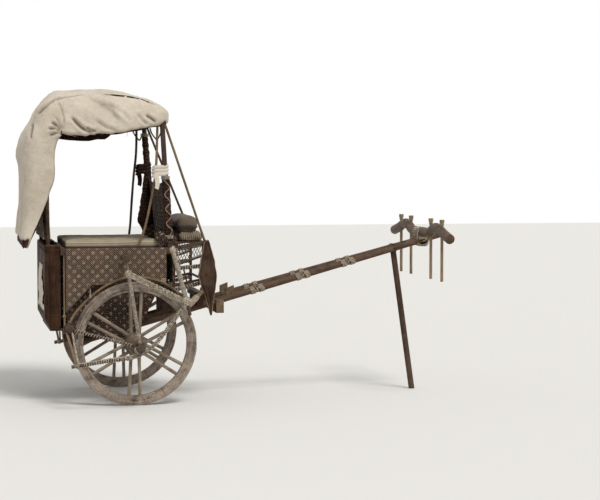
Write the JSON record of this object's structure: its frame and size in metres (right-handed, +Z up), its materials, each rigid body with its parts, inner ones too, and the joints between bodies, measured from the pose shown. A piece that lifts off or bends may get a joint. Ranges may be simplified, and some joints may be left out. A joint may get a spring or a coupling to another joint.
{
  "type": "bullock cart",
  "caption": "Two-wheeled passenger bullock cart with cloth canopy, side bows, rear boot, driver's seat, long drawbar with yoke and a folding prop.",
  "frame": {"origin": "on the ground under the middle of the cart's overall box", "axes": "+X forward to the yoke, +Y to the left, +Z up"},
  "size_m": [3.23, 1.9354, 2.2519],
  "materials": {
    "wheel_wood": "weathered grey-brown, dry and worn",
    "pole_wood": "oiled dark brown round timber",
    "frame_wood": "dark brown timber",
    "bow_wood": "bent stick with cord wound round it",
    "pale_wood": "bare pale stick",
    "iron": "dark forged iron",
    "rope": "twisted fibre rope",
    "white_cloth": "plain thick cotton cloth",
    "printed_cloth": "block print with small flowers",
    "dark_print": "dark block print",
    "ribbed_cushion": "pale ribbed quilt roll",
    "grey_cushion": "grey stitched pillow",
    "dark_leather": "dark worn leather"
  },
  "bodies": {
    "cart": {"axle_beam": "wheel_wood", "axle_rod": "iron", "back_screen": "dark_print", "body_uprights": "frame_wood", "boot_bearer": "frame_wood", "canopy_cloth": "white_cloth", "canopy_cross_bars": "frame_wood", "canopy_hoops": "frame_wood", "canopy_rails": "frame_wood", "canopy_stays": "frame_wood", "corner_spindles": "pale_wood", "drawbar_nose": "pole_wood", "drawbar_poles": "pole_wood", "drawbar_rungs": "pole_wood", "driver_apron": "dark_leather", "driver_frame": "frame_wood", "driver_nets": "rope", "driver_seat": "frame_wood", "footrest": "pale_wood", "front_beam": "frame_wood", "front_braces": "rope", "front_cloth": "dark_print", "front_legs": "rope", "front_posts": "frame_wood", "front_screen": "dark_print", "linch_pins": "iron", "lower_cloths": "dark_print", "lower_cushion": "ribbed_cushion", "outer_bows": "bow_wood", "outer_struts": "pale_wood", "platform_deck": "frame_wood", "platform_frame": "frame_wood", "pole_cleats": "pale_wood", "post_ties": "white_cloth", "prop_pin": "iron", "rear_beam": "frame_wood", "rear_boot": "dark_leather", "rear_drape": "white_cloth", "rear_hangers": "pale_wood", "rear_posts": "frame_wood", "rear_ties": "rope", "rope_lashings": "rope", "rope_stays": "rope", "seat_bolster": "frame_wood", "seat_pad": "ribbed_cushion", "side_arm": "frame_wood", "side_flaps": "printed_cloth", "upper_cushion": "grey_cushion", "wheel_guards": "bow_wood", "yoke": "pole_wood", "yoke_lashing": "rope", "yoke_pins": "pale_wood"},
    "wheel_left": {"wheel_rim_left": "wheel_wood", "wheel_hub_left": "wheel_wood", "wheel_spokes_left": "wheel_wood"},
    "wheel_right": {"wheel_rim_right": "wheel_wood", "wheel_hub_right": "wheel_wood", "wheel_spokes_right": "wheel_wood"},
    "prop": {"prop_leg": "pole_wood"}
  },
  "joints": [
    {"name": "wheel_left_spin", "type": "hinge", "parent": "cart", "child": "wheel_left", "pos_m": [-0.785, 0.55, 0.44], "axis": [0, 1, 0], "continuous": true},
    {"name": "wheel_right_spin", "type": "hinge", "parent": "cart", "child": "wheel_right", "pos_m": [-0.785, -0.55, 0.44], "axis": [0, 1, 0], "continuous": true},
    {"name": "prop_fold", "type": "hinge", "parent": "cart", "child": "prop", "pos_m": [1.235, 0, 1.0754], "axis": [0, 1, 0], "range_deg": [0, 62]}
  ]
}
